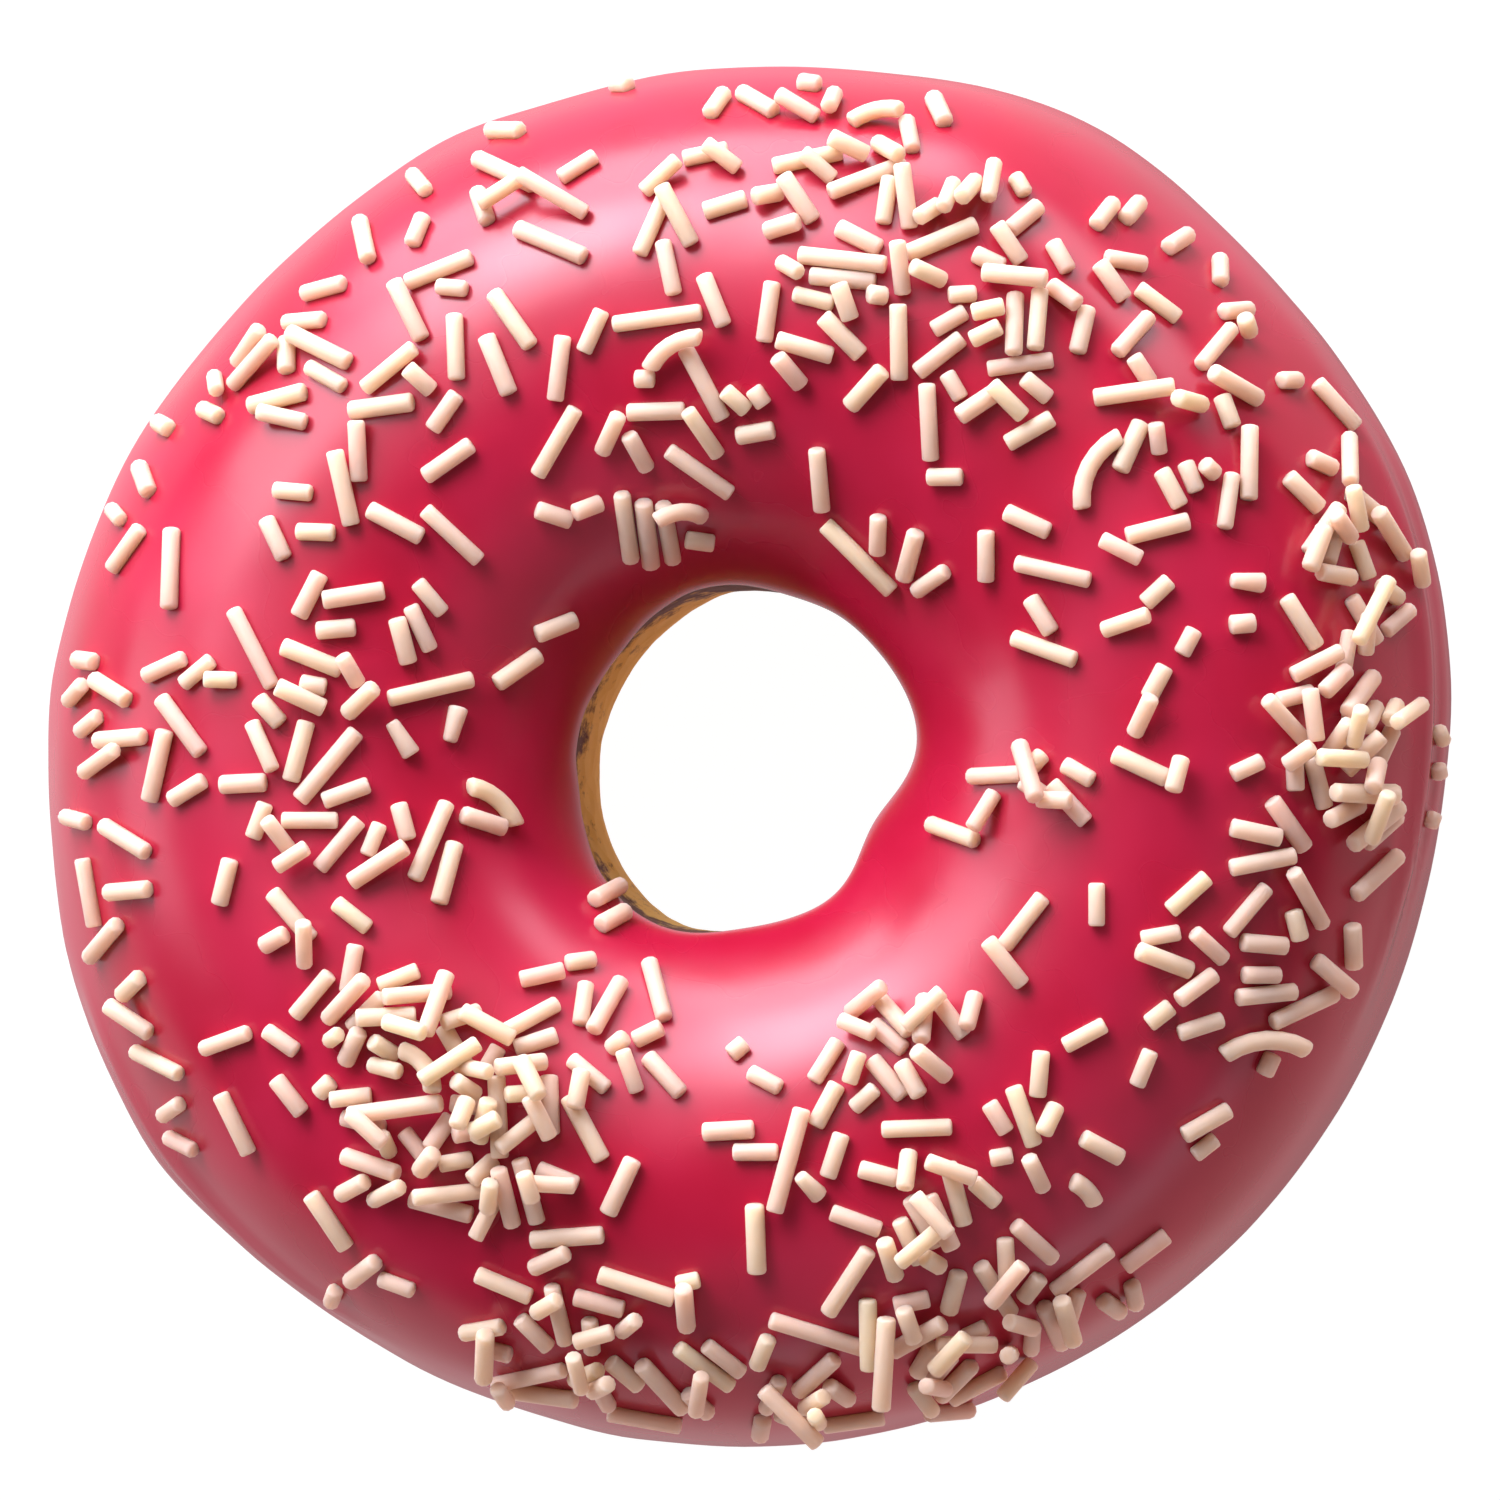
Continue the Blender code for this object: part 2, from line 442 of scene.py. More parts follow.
strands = {
    "thickness": 0.00110,
    "sides": 10,
    "roundedEnd": 0.00017,
    "sunk": 0.00020,                      # how deep one lies in the frosting
    "endSegments": 2,
    "bendCuts": 5,
    "endShare": 0.3,                      # of the radius, by which one rests short of its tips
    "sizes": (0.93, 1.07),                # thinnest and thickest, as shares of the thickness
    "palest": (0.80, 0.60, 0.39),
    "colour": (0.78, 0.54, 0.405),
    "darkest": (0.74, 0.455, 0.36),
    "tint": (0.4, 0.2),                   # from darkest 0 to palest 1: usual value and spread
    "paintedPileLight": 0.5,                    # painted light: paler at the top of a pile by this much
    "roughness": 0.55,
    "specular": 0.3,
    "scatter": (1.0, 0.85, 0.7),
    "scatterDepth": 0.0025,
    "press": 0.96,                        # share of the full lift where one crosses another
    "checks": 4,                          # places looked at to either side of the middle
    "neighbour": 0.024,                   # twice how far off the middle of another still counts
    "stretch": 1.4,                       # most by which one on a slope is longer than it looks
    "steepest": 1.1,                      # rise over run of one that leans on others
    "highest": 0.0034,                    # middle line above the frosting, in a pile
    "lowestLaid": -0.004,                 # above the waist, for those laid one by one
    "lowestPiled": 0.006,
    "seed": 11,
}
slack = 0.000002                          # by which a resting line may pass too low
samePlace = 0.000001                      # along a strand
noRun = 1e-12                             # for one that stands on its end

# What is modelled: length in millimetres, bend in radians, share by which one end is thinner.
strandModels = {
    "straight": [(length, 0.0, 0.0) for length in (0.9, 1.3, 1.8, 2.3, 2.8, 3.4, 4.1, 5.0, 6.2)],
    "bent": [(2.0, 0.8, 0.0), (3.6, 1.3, 0.0), (5.0, 1.3, 0.0)],
    "wedge": [(2.2, 0.0, 0.35)],
}

# Strands laid one by one: millimetres to the right and up as the camera sees the ring, heading
# in degrees and length in millimetres. Later ones lie over earlier ones.
laidStraight = {
    "far left": [
        (-20.2, 35.3, -50, 2.6), (-14.9, 38.5, 0, 2.3), (-23.6, 31.8, -78, 3.2), (-20.3, 32.4, 68, 1.9),
        (-16.3, 33.9, -72, 2.0), (-14.9, 36.0, -25, 4.0), (-14.8, 34.2, 32, 3.2), (-11.7, 34.2, -22, 4.2),
        (-10.4, 36.3, 32, 2.6), (-12.1, 31.7, -23, 4.5), (-19.0, 30.0, 22, 4.3), (-20.8, 27.4, -67, 3.6),
        (-18.2, 28.9, -5, 1.8), (-18.0, 25.3, -88, 4.0), (-15.4, 24.2, -68, 3.8), (-14.5, 27.0, -55, 4.0),
        (-26.1, 28.8, 15, 2.6), (-27.3, 26.8, 5, 2.4), (-22.0, 23.9, 36, 4.1), (-20.1, 23.2, -45, 2.0),
        (-22.6, 21.6, 8, 3.9), (-18.7, 21.3, 55, 2.7), (-18.5, 18.3, 35, 3.5), (-24.0, 18.8, 90, 3.7),
        (-24.9, 16.5, -80, 4.6), (-28.1, 16.3, -5, 2.3), (-28.4, 24.7, 90, 2.0), (-30.2, 24.0, 37, 4.2),
        (-30.2, 24.8, 35, 3.0), (-32.6, 22.8, -65, 1.8), (-33.1, 21.1, -25, 1.5), (-26.3, 25.1, -25, 3.6),
        (-26.0, 23.4, -30, 2.5), (-29.0, 22.0, 15, 3.5), (-28.6, 20.8, -10, 2.7), (-36.0, 20.3, -30, 1.7),
        (-36.3, 22.0, 0, 1.5), (-37.2, 17.0, -70, 2.2), (-38.9, 14.8, -50, 1.8), (-21.8, 14.4, -28, 3.7),
        (-18.3, 13.7, -43, 4.6),
    ],
    "far side": [
        (-7.7, 41.3, 0, 1.2), (-1.8, 40.2, 55, 1.8), (0.7, 40.3, -30, 2.4), (3.2, 39.7, -16, 2.6),
        (3.9, 41.4, -8, 1.3), (5.3, 40.2, 75, 1.9), (10.1, 38.3, -78, 2.0), (11.9, 39.8, -65, 2.2),
        (-2.5, 37.1, 12, 2.8), (-1.4, 36.6, -22, 2.3), (-5.2, 35.6, 34, 2.9), (-5.8, 32.8, 66, 3.9),
        (-4.2, 33.2, -62, 3.7), (-4.8, 30.2, -78, 3.3), (-1.3, 34.0, 17, 2.7), (1.4, 34.5, 22, 1.9),
        (3.3, 34.2, -53, 3.0), (2.3, 32.6, 10, 2.3), (3.8, 36.8, 12, 4.3), (6.4, 37.0, -8, 2.5),
        (4.5, 36.1, -30, 2.3), (7.5, 35.6, 23, 5.0), (8.8, 37.0, -50, 2.4), (8.7, 34.2, 80, 2.6),
        (9.9, 34.2, -82, 3.5), (11.3, 33.4, 45, 2.0), (12.5, 34.2, 72, 2.3), (13.7, 34.5, 62, 2.5),
        (15.0, 35.0, 80, 2.3), (7.0, 32.0, -27, 2.9), (12.1, 31.9, 23, 4.6), (6.0, 29.5, -5, 4.0),
        (6.0, 30.6, -8, 5.4), (2.8, 30.1, -35, 1.8), (9.6, 30.0, -85, 3.2), (11.3, 29.6, -15, 2.4),
        (13.4, 28.5, 5, 1.7), (4.2, 28.3, -14, 2.5), (6.2, 28.0, -72, 2.3), (8.2, 28.4, 0, 1.2),
    ],
    "far side, towards the hole": [
        (1.4, 27.5, 82, 3.7), (-2.0, 28.2, -68, 3.3), (-5.5, 27.1, 8, 5.4), (-9.5, 26.3, 66, 2.8),
        (-11.6, 24.0, 83, 4.0), (-6.3, 23.4, 0, 1.2), (-2.6, 23.1, -62, 4.9), (9.5, 25.6, 90, 4.6),
        (6.0, 26.0, -46, 3.3), (3.7, 25.3, -17, 3.5), (2.8, 23.9, -55, 2.5), (7.5, 22.8, 47, 3.2),
        (12.0, 24.8, 38, 3.5), (12.9, 22.9, -60, 1.8), (12.6, 26.9, 30, 2.3), (14.5, 21.8, 35, 3.0),
        (-0.6, 22.1, -45, 1.9), (0.8, 22.3, -55, 1.3), (0.6, 20.1, 10, 2.3), (-5.6, 21.4, 2, 3.5),
        (-8.4, 20.1, 65, 2.9), (-6.7, 19.0, -65, 2.7), (-2.6, 20.2, -60, 3.6), (-11.8, 19.5, 60, 4.7),
        (-2.9, 17.7, -35, 4.7), (11.4, 20.7, -88, 4.7), (4.6, 17.2, -85, 3.8), (12.4, 17.3, 0, 2.1),
        (-12.0, 15.0, -18, 2.3), (-9.9, 15.6, 12, 1.9), (-7.5, 14.3, -82, 4.2), (-4.9, 14.0, -80, 3.6),
        (-6.2, 13.9, -83, 4.0), (-2.9, 13.5, -8, 1.8), (8.3, 13.8, 88, 2.3), (7.2, 12.5, -45, 5.8),
        (10.3, 12.5, 75, 3.0), (11.6, 10.9, 35, 2.3), (15.0, 12.4, 90, 3.1),
    ],
    "far right": [
        (16.9, 35.2, -60, 1.3), (17.2, 33.2, 40, 2.3), (22.1, 33.4, 52, 1.9), (23.8, 33.6, 50, 1.8),
        (26.6, 31.7, 32, 2.1), (29.2, 29.9, -88, 1.8), (23.4, 30.5, -10, 2.5), (22.5, 29.2, -50, 2.7),
        (25.4, 27.9, -37, 3.1), (19.4, 30.8, -60, 2.0), (20.8, 26.3, 77, 2.8), (19.6, 28.3, -45, 2.3),
        (16.2, 31.5, -50, 2.7), (15.0, 30.6, -25, 2.0), (23.9, 26.0, 48, 3.0), (29.0, 25.2, 50, 3.0),
        (30.2, 27.4, 5, 1.9), (30.6, 26.2, -30, 1.4), (24.4, 23.7, -50, 2.0), (23.9, 22.3, 4, 4.8),
        (27.1, 21.5, 5, 2.8), (29.7, 21.2, -70, 2.0), (30.0, 22.6, -20, 3.7), (33.5, 23.1, 0, 1.3),
        (36.4, 21.6, -48, 3.7), (17.6, 20.1, 30, 3.2), (17.0, 24.2, 8, 4.0), (16.3, 21.9, -45, 2.8),
        (18.0, 22.7, -38, 2.0), (16.6, 26.6, 88, 3.9), (18.0, 26.8, 85, 3.7), (15.0, 27.4, 12, 2.0),
        (14.9, 26.0, 25, 2.0), (16.5, 29.3, -12, 4.0), (23.8, 19.1, 66, 3.2), (25.4, 19.5, -78, 1.9),
        (31.0, 18.0, -88, 4.3), (26.3, 16.5, -62, 2.5), (27.5, 17.2, -68, 1.9), (28.6, 17.6, -30, 1.2),
        (29.8, 15.7, 82, 3.3), (34.4, 16.2, -45, 2.8), (35.5, 18.0, -25, 1.7), (36.8, 18.0, 75, 3.5),
        (38.3, 15.3, -40, 2.9), (17.5, 14.5, -25, 2.9), (25.5, 14.0, 14, 3.9), (23.3, 12.7, -27, 2.7),
    ],
    "left": [
        (-38.3, 12.7, 55, 3.2), (-35.6, 11.5, 88, 4.9), (-29.2, 13.4, -65, 2.7), (-26.7, 13.8, -2, 2.3),
        (-27.1, 9.9, 63, 3.0), (-24.4, 9.9, 9, 3.8), (-25.5, 7.8, 5, 2.4), (-19.7, 9.8, -50, 2.5),
        (-20.3, 7.9, -65, 3.0), (-21.4, 7.1, -75, 2.9), (-30.6, 6.6, -63, 5.3), (-27.0, 6.0, -22, 3.9),
        (-24.6, 5.2, -60, 2.2), (-40.8, 5.8, -8, 1.7), (-43.0, 5.9, 0, 1.2), (-39.3, 4.0, -32, 2.6),
        (-41.3, 3.8, 38, 2.1), (-36.0, 5.4, 25, 2.7), (-34.0, 5.1, 40, 2.4), (-32.5, 4.6, 0, 1.9),
        (-35.0, 1.8, -54, 4.2), (-40.6, 1.9, 40, 1.7), (-38.7, 1.0, 5, 3.0), (-39.8, -0.4, 28, 3.2),
        (-36.4, -0.7, 76, 4.5), (-34.6, -2.2, 32, 2.4), (-31.2, -1.8, 3, 2.8), (-29.6, 2.7, -48, 2.1),
        (-30.0, 0.5, -65, 3.3), (-26.9, 4.3, -10, 1.6), (-27.6, 3.5, -25, 3.2), (-24.0, 3.3, 42, 2.8),
        (-19.7, 4.1, 13, 5.3), (-14.4, 5.4, 35, 3.2), (-12.0, 8.1, 22, 2.6), (-27.8, 0.2, 75, 3.8),
        (-26.0, -0.7, 50, 5.5), (-24.9, -2.4, 20, 3.0), (-27.1, -4.1, 0, 3.4), (-30.2, -4.1, 70, 2.3),
        (-28.9, -5.0, -58, 2.5), (-28.0, -6.4, 33, 2.3), (-25.3, -5.6, 50, 3.9), (-23.2, -5.3, 68, 2.1),
        (-21.4, -4.2, -75, 2.3), (-22.9, -6.9, 32, 4.1), (-19.7, -5.4, 67, 5.1), (-18.7, -7.4, 75, 3.8),
        (-16.5, -4.2, -18, 2.8), (-41.4, -4.0, -15, 2.3), (-38.4, -5.2, -32, 3.2), (-32.3, -7.9, 76, 2.9),
        (-40.6, -8.5, -80, 4.3), (-38.2, -8.4, 5, 2.8), (-39.7, -11.5, 50, 3.7), (-28.2, -10.0, -50, 3.8),
        (-24.5, -10.0, -38, 2.6), (-29.2, -11.5, 28, 1.8), (-27.2, -11.8, 82, 3.2), (-24.5, -13.3, 80, 3.0),
        (-21.6, -13.9, 22, 2.6),
    ],
    "near left": [
        (-38.0, -14.3, 45, 2.0), (-37.8, -16.2, -47, 2.9), (-36.4, -19.0, -27, 3.4), (-35.5, -21.9, 35, 2.2),
        (-34.9, -24.0, -27, 2.1), (-32.2, -17.7, 20, 3.0), (-28.8, -17.7, -35, 2.3), (-31.6, -22.8, -64, 4.1),
        (-28.3, -21.1, -52, 2.7), (-26.1, -20.6, 45, 1.2), (-25.8, -28.8, -56, 4.0), (-23.7, -31.9, 38, 2.5),
        (-21.6, -32.7, -20, 2.2), (-25.5, -33.4, 70, 1.6), (-26.9, -14.9, 50, 3.4), (-23.5, -16.0, 42, 3.0),
        (-24.6, -15.2, 42, 4.2), (-21.2, -16.7, -25, 1.8), (-18.1, -18.2, -60, 3.0), (-17.7, -16.4, 22, 2.6),
        (-24.3, -18.1, 60, 2.5), (-25.4, -17.5, 30, 1.4), (-22.3, -18.2, -40, 2.0), (-22.2, -19.4, -12, 2.2),
        (-15.9, -19.1, 60, 2.1), (-24.4, -21.2, 5, 2.4), (-20.9, -20.6, 60, 1.4), (-23.7, -22.8, -15, 2.7),
        (-22.1, -24.0, -85, 1.8), (-20.3, -24.5, -52, 3.0), (-18.9, -23.4, 58, 2.4), (-17.2, -23.4, 10, 1.8),
        (-23.1, -25.3, -14, 3.8), (-17.9, -25.2, 8, 2.0), (-24.2, -26.7, 30, 2.3), (-21.9, -26.9, 30, 3.2),
        (-18.9, -28.0, -15, 3.9), (-18.2, -27.0, 0, 4.0), (-16.9, -21.8, -8, 2.8), (-16.2, -25.7, 45, 2.0),
        (-20.4, -15.0, 8, 4.3), (-16.0, -28.5, 65, 2.9), (-15.2, -22.5, -88, 5.0), (-21.5, -21.9, 8, 5.9),
        (-16.3, -35.5, 10, 2.5), (-15.4, -36.8, -15, 1.8),
    ],
    "near the hole": [
        (-8.8, -8.8, 28, 2.6), (-8.4, -10.4, 28, 1.9), (-10.4, -13.0, 8, 1.8), (-12.8, -13.9, 8, 2.7),
        (13.0, -4.9, -20, 3.0), (15.2, -3.6, 72, 2.7), (15.7, -1.3, 3, 3.2), (-5.6, -14.8, -75, 3.6),
        (-10.2, -15.6, 82, 2.5), (-8.7, -15.8, 62, 3.8), (-6.1, -17.6, 18, 1.9), (-8.0, -18.2, 25, 1.4),
        (-9.8, -19.9, -40, 2.9), (-7.2, -19.9, -70, 2.6), (-5.1, -20.0, -48, 3.1), (-0.5, -18.4, 40, 1.2),
        (1.2, -20.3, -28, 2.1), (5.0, -19.1, 58, 2.9), (5.0, -21.8, 62, 2.9), (8.8, -20.1, -50, 3.0),
        (7.4, -21.4, 40, 1.9), (8.9, -17.6, -40, 2.5), (9.1, -16.1, -48, 3.6), (11.2, -16.6, -88, 3.2),
        (10.3, -20.2, -60, 2.4), (11.7, -19.3, -42, 2.9), (12.8, -16.4, -55, 2.8), (14.1, -16.0, 82, 2.4),
    ],
    "near side": [
        (-13.1, -17.9, 18, 2.7), (-13.5, -16.5, 30, 4.0), (-12.2, -21.8, -88, 3.6), (-10.0, -23.2, -62, 4.4),
        (-10.3, -21.0, 80, 2.4), (-13.9, -23.6, 42, 3.0), (-13.9, -19.5, 12, 3.3), (-11.7, -26.2, -22, 2.6),
        (-7.8, -26.8, 65, 3.7), (-14.7, -27.3, -82, 4.0), (-13.4, -27.0, -78, 4.2), (-11.1, -29.9, 4, 4.4),
        (-12.1, -31.2, 28, 2.7), (-15.0, -32.8, -23, 3.6), (-11.6, -34.6, -76, 3.6), (-9.1, -33.9, -15, 3.1),
        (-6.8, -32.9, -18, 4.8), (-7.2, -35.1, 48, 1.9), (-3.6, -32.6, 10, 1.4), (-3.7, -34.0, 90, 3.3),
        (-13.1, -35.7, -45, 2.6), (-9.6, -35.9, -85, 2.0), (-1.4, -37.3, -38, 2.8), (-2.6, -37.8, -36, 4.1),
        (1.0, -36.9, 68, 1.9), (-5.2, -39.0, -47, 3.8), (-7.5, -38.2, -40, 2.4), (-9.8, -38.0, 38, 2.5),
        (-13.4, -38.4, 12, 4.4), (-12.5, -39.5, -8, 4.0), (-8.9, -39.5, -60, 2.0), (-3.0, -40.0, -45, 1.9),
        (-6.3, -41.0, -10, 4.6), (1.6, -39.5, 65, 2.4), (0.9, -41.5, 80, 2.0), (4.3, -38.3, 42, 3.1),
        (5.7, -39.2, -45, 2.0), (2.8, -40.9, -20, 1.8), (6.6, -41.1, 8, 3.8), (0.6, -30.0, -88, 4.2),
        (5.5, -24.9, 72, 2.8), (-1.1, -23.4, 3, 3.1), (0.6, -24.7, 0, 2.7), (2.7, -25.2, 75, 6.5),
        (6.8, -28.9, -20, 3.2), (6.3, -32.6, 57, 4.6), (4.4, -35.8, -17, 6.0),
    ],
    "near right": [
        (8.2, -26.0, -15, 2.4), (10.0, -25.7, 85, 2.5), (10.6, -23.2, 2, 4.2), (14.8, -27.1, -42, 2.0),
        (13.0, -27.2, -75, 3.9), (11.0, -28.9, -60, 3.4), (12.0, -28.8, -65, 3.5), (10.1, -30.1, -65, 2.9),
        (8.9, -31.1, -75, 2.8), (11.5, -31.1, -40, 1.6), (12.8, -33.2, 75, 2.5), (15.4, -33.0, -57, 3.5),
        (7.5, -35.4, 90, 3.5), (10.2, -33.8, 12, 2.2), (10.5, -35.7, 38, 3.9), (14.1, -35.6, 25, 1.6),
        (8.3, -36.3, 82, 4.4), (11.0, -37.3, 60, 2.0), (12.0, -37.8, 50, 2.0), (12.9, -38.6, 45, 2.8),
        (14.2, -38.9, 28, 3.7), (10.8, -39.4, -40, 2.0), (12.5, -40.5, 5, 3.0), (25.6, -16.1, 38, 1.8),
        (28.1, -16.8, 18, 2.8), (32.1, -14.8, 6, 3.5), (34.4, -15.6, 25, 4.2), (32.2, -19.1, 65, 1.4),
        (21.0, -17.4, 28, 2.8), (18.2, -19.8, 85, 2.8), (24.6, -19.4, 68, 2.3), (17.2, -22.4, -70, 3.8),
        (15.6, -22.5, -58, 2.1), (18.8, -22.5, 62, 2.0), (22.0, -24.3, -28, 2.7), (15.8, -24.9, 10, 1.4),
        (17.9, -25.8, -65, 2.5), (28.3, -24.2, 38, 1.7), (28.4, -22.7, 30, 3.2), (17.8, -30.1, -42, 3.2),
        (16.0, -31.1, 90, 2.4), (20.7, -31.8, 37, 4.4), (24.6, -30.6, 37, 3.3), (17.6, -32.9, 52, 1.8),
        (18.9, -35.2, -65, 3.7), (17.6, -36.0, 85, 2.0), (20.0, -33.9, 58, 2.0), (22.5, -34.0, -35, 2.0),
        (23.8, -33.2, -85, 1.8), (16.4, -37.8, 20, 3.0), (23.9, -35.6, 12, 1.6),
    ],
    "right": [
        (19.1, 11.4, -13, 4.6), (25.5, 10.1, 43, 2.1), (23.6, 8.2, 18, 3.1), (18.4, 8.7, -58, 2.5),
        (18.6, 6.6, -20, 4.0), (25.5, 4.5, 62, 2.2), (24.7, 2.4, 62, 2.8), (27.4, 7.0, 62, 1.7),
        (30.7, 8.1, 5, 1.5), (31.0, -0.8, 25, 2.0), (34.3, 8.2, -58, 3.6), (36.2, 13.2, 75, 2.7),
        (35.4, 13.8, 62, 3.0), (36.1, 11.0, -8, 2.2), (38.0, 12.0, -70, 2.4), (39.4, 13.5, -45, 3.6),
        (41.2, 11.4, -55, 2.4), (39.4, 10.0, -20, 2.0), (40.1, 8.3, 45, 2.0), (38.1, 8.3, -60, 3.2),
        (37.0, 6.3, 80, 2.6), (33.9, 3.6, 14, 2.2), (33.2, 2.1, -42, 4.0), (37.2, 1.6, 85, 2.3),
        (38.1, 2.3, 40, 2.2), (39.2, 2.6, 45, 1.5), (37.4, 0.1, 62, 2.9), (39.3, 0.4, 65, 2.7),
        (35.0, 5.6, 30, 2.9), (35.8, 4.5, 45, 2.0), (37.5, 3.7, 42, 3.6), (35.9, 1.0, 82, 2.7),
        (33.9, -1.1, -88, 2.2), (35.3, -1.7, -75, 3.2), (36.6, -3.5, 18, 2.9), (37.8, -2.3, 0, 3.6),
        (39.2, -4.6, 42, 2.6), (38.4, -4.3, 38, 3.8), (33.5, -4.3, -55, 3.6), (31.5, -4.8, -12, 3.0),
        (31.9, -6.6, 12, 3.9), (38.9, -7.4, 43, 3.6), (27.4, -8.6, 42, 3.1), (31.0, -9.6, 50, 3.7),
        (34.5, -8.8, -55, 4.3), (21.8, -9.3, -90, 2.6), (17.3, -10.4, 52, 3.9), (16.3, -13.0, -55, 3.4),
        (25.7, -11.2, 10, 2.4), (25.9, -12.7, -22, 3.7), (28.6, -11.8, -42, 2.7), (27.8, -14.3, 32, 2.9),
        (32.0, -11.7, -5, 2.7), (33.9, -10.5, -80, 1.8), (31.8, -13.6, 0, 2.2), (37.4, -11.8, -88, 2.6),
        (35.9, -13.5, -48, 2.5), (24.5, -0.7, -25, 3.6), (26.7, -1.2, 75, 2.2), (18.3, -0.4, 60, 1.2),
        (18.3, -2.2, -45, 1.8), (20.2, -3.0, -50, 3.1), (20.7, -1.1, -30, 2.0), (42.8, 1.2, -60, 0.9),
        (42.7, -1.0, -80, 0.8), (42.3, -4.0, 70, 0.9),
    ],
}

# These curve to the right of their heading.
laidBent = [
    (8.0, 39.4, 0, 3.4), (-4.5, 25.4, 30, 4.2), (-4.0, 15.7, -10, 3.4), (-15.7, -2.8, -40, 4.0),
    (-19.8, -19.3, -50, 3.8), (31.9, -17.5, 8, 5.0), (21.0, -26.9, -45, 2.0), (21.3, 17.9, 62, 5.3),
]
laidWedges = [
    (-21.5, 1.0, -58, 2.4), (-18.3, 1.9, 75, 2.2), (4.0, -26.7, -50, 2.0), (31.0, 10.7, -5, 2.0),
]

# Where more of them fell in a pile: middle in the same millimetres, spread, how many.
piles = [
    (-14.0, -20.5, 2.2, 10), (-22.0, -17.0, 1.8, 5), (-17.0, -22.5, 2.0, 6), (-15.0, -26.5, 1.5, 5),
    (9.5, -17.5, 1.8, 4), (11.5, -29.0, 1.5, 5), (-11.0, -39.0, 2.5, 6), (-4.0, -39.5, 2.5, 4),
    (3.5, -39.5, 1.9, 5), (11.5, -36.0, 1.6, 4), (36.0, 2.0, 1.4, 5), (35.5, 12.5, 1.2, 3),
    (37.0, 8.0, 1.0, 2), (36.5, -2.5, 1.3, 4), (17.0, -34.5, 1.5, 4), (19.5, -1.5, 0.8, 2),
]
pileLengths = [2.0, 2.3, 2.6, 2.9, 3.2, 3.6, 4.2]


def strandMaterial():
    material, nodes, links, shader = newMaterial("sugarStrand")
    tint = addNode(nodes, "ShaderNodeAttribute", attribute_name="tint")
    tone = addRamp(nodes, [(0.0, strands["darkest"]), (0.5, strands["colour"]),
                           (1.0, strands["palest"])])
    links.new(tint.outputs["Fac"], tone.inputs["Fac"])
    links.new(tone.outputs["Color"], shader.inputs["Base Color"])
    shader.inputs["Roughness"].default_value = strands["roughness"]
    shader.inputs["Specular IOR Level"].default_value = strands["specular"]
    shader.inputs["Subsurface Weight"].default_value = 1.0
    shader.inputs["Subsurface Radius"].default_value = strands["scatter"]
    shader.inputs["Subsurface Scale"].default_value = strands["scatterDepth"]
    return material


def edgeRise(edge):
    return abs(edge.verts[0].co.z - edge.verts[1].co.z)


def modelStrand(length, bend, thinner):
    deselectAll()
    bpy.ops.mesh.primitive_cylinder_add(vertices=strands["sides"], radius=strands["thickness"] / 2,
                                        depth=length, end_fill_type="NGON", location=(0, 0, 0))
    strand = bpy.context.object
    bpy.ops.object.mode_set(mode="EDIT")
    selectEdges(strand, lambda edge: edgeRise(edge) < length / 10)
    bpy.ops.mesh.bevel(offset=strands["roundedEnd"], segments=strands["endSegments"],
                       affect="EDGES")
    if bend:
        selectEdges(strand, lambda edge: edgeRise(edge) > length / 2)
        bpy.ops.mesh.subdivide(number_cuts=strands["bendCuts"])
    bpy.ops.object.mode_set(mode="OBJECT")
    if bend:
        addModifier(strand, "SIMPLE_DEFORM", deform_method="BEND", deform_axis="Y", angle=bend)
    if thinner:
        addModifier(strand, "SIMPLE_DEFORM", deform_method="TAPER", deform_axis="Z", factor=thinner)
    strand.data.shade_smooth()
    return strand


def heightsToClear(point, normal, along, half, lying, surface):
    # pairs of a place along the strand and how high over the frosting its middle line has to be
    radius = strands["thickness"] / 2
    lie = radius - strands["sunk"]
    across = normal.cross(along)
    clear = [(0.0, lie)]
    for place in (-half, half):
        near = surface.find_nearest(point + along * place)[0]
        clear.append((place, (near - point).dot(normal) + lie))
    for start, end in lying:
        if (start + end - 2 * point).length > strands["neighbour"]:
            continue
        a, b = start - point, end - point
        flatA = Vector((a.dot(along), a.dot(across)))
        flatB = Vector((b.dot(along), b.dot(across)))
        run = flatB - flatA
        for step in range(-strands["checks"], strands["checks"] + 1):
            here = Vector((half * step / strands["checks"], 0.0))
            share = (here - flatA).dot(run) / max(run.length_squared, noRun)
            share = min(max(share, 0.0), 1.0)
            apart = (here - flatA - run * share).length
            if apart < 2 * radius:
                under = a.dot(normal) * (1 - share) + b.dot(normal) * share
                lift = strands["press"] * math.sqrt(4 * radius * radius - apart * apart)
                clear.append((here.x, under + lift))
    return clear


def restingLine(clear):
    # the lowest line that rests on two of the heights and passes over all of them
    best = None
    for placeA, heightA in clear:
        for placeB, heightB in clear:
            if placeA > 0.0 or placeB < 0.0:
                continue
            slope = 0.0
            level = max(heightA, heightB)
            if placeB - placeA > samePlace:
                slope = (heightB - heightA) / (placeB - placeA)
                level = heightA - slope * placeA
            if best and level >= best[0]:
                continue
            if all(level + slope * place >= height - slack for place, height in clear):
                best = (level, slope)
    return best


